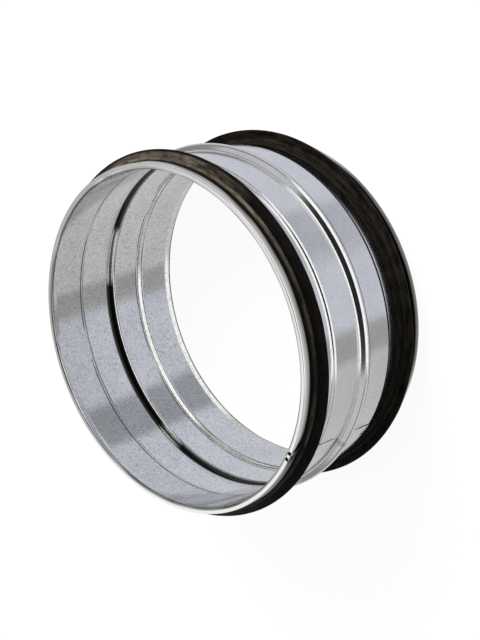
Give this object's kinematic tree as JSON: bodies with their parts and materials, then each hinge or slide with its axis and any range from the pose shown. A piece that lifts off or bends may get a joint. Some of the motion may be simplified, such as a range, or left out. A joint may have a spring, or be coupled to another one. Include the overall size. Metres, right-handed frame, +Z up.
{
  "type": "duct connector",
  "caption": "Round galvanised sheet-steel duct connector with a stop bead round its middle and a rubber lip seal held in the folded hem at each end; it slides inside two ducts and joins them.",
  "frame": {"origin": "on the duct axis, in the plane of the lower end", "axes": "+Z up along the duct axis; the welded lap lies at 215 degrees from +X about +Z"},
  "size_m": [0.168, 0.168, 0.08],
  "materials": {
    "galvanised_steel": "hot-dip zinc with a fine spangle",
    "seal_rubber": "matt black"
  },
  "bodies": {
    "root": {"sleeve": "galvanised_steel", "upper_seal": "seal_rubber", "lower_seal": "seal_rubber"}
  },
  "joints": []
}
